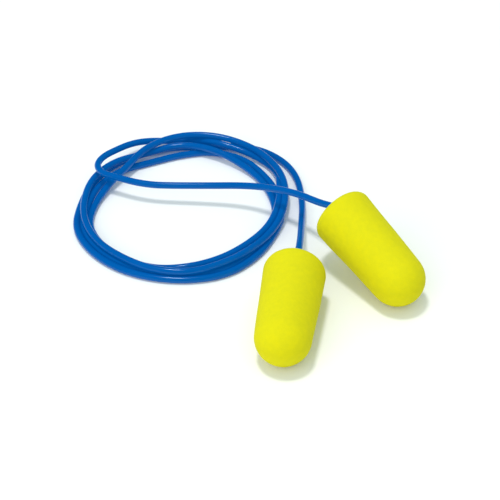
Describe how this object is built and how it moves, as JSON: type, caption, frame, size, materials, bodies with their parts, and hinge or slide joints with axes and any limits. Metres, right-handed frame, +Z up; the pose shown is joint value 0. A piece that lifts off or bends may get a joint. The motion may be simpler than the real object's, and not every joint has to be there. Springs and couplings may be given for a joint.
{
  "type": "foam ear plugs",
  "caption": "Tapered soft foam ear plugs with rounded noses and flat wide ends, joined by a thin glossy plastic cord that lies wound in a loose coil.",
  "frame": {"origin": "on the surface that the plugs lie on, at the middle of the box round the two plugs", "axes": "+Z up, -Y towards the plugs' noses, the coil of cord on the -X and +Y side"},
  "size_m": [0.0713, 0.0749, 0.0162],
  "materials": {
    "plug_foam": "matte",
    "adhesive": "satin",
    "cord_pvc": "gloss"
  },
  "bodies": {
    "cord": {"cord_coil": "cord_pvc", "cord_tail_front": "cord_pvc", "cord_tail_rear": "cord_pvc"},
    "front_plug": {"front_plug_foam": "plug_foam", "front_plug_adhesive": "adhesive", "front_cord_end": "cord_pvc"},
    "rear_plug": {"rear_plug_foam": "plug_foam", "rear_plug_adhesive": "adhesive", "rear_cord_end": "cord_pvc"}
  },
  "joints": [
    {"name": "front_plug_swing", "type": "hinge", "parent": "cord", "child": "front_plug", "pos_m": [-0.00834, 0.00579, 0.0063], "axis": [0, 0, 1], "range_deg": [-40, 12], "stiffness_Nm_per_rad": 0.0004},
    {"name": "rear_plug_swing", "type": "hinge", "parent": "cord", "child": "rear_plug", "pos_m": [-0.00068, 0.0179, 0.01114], "axis": [0, 0, 1], "range_deg": [-12, 40], "stiffness_Nm_per_rad": 0.0004}
  ]
}
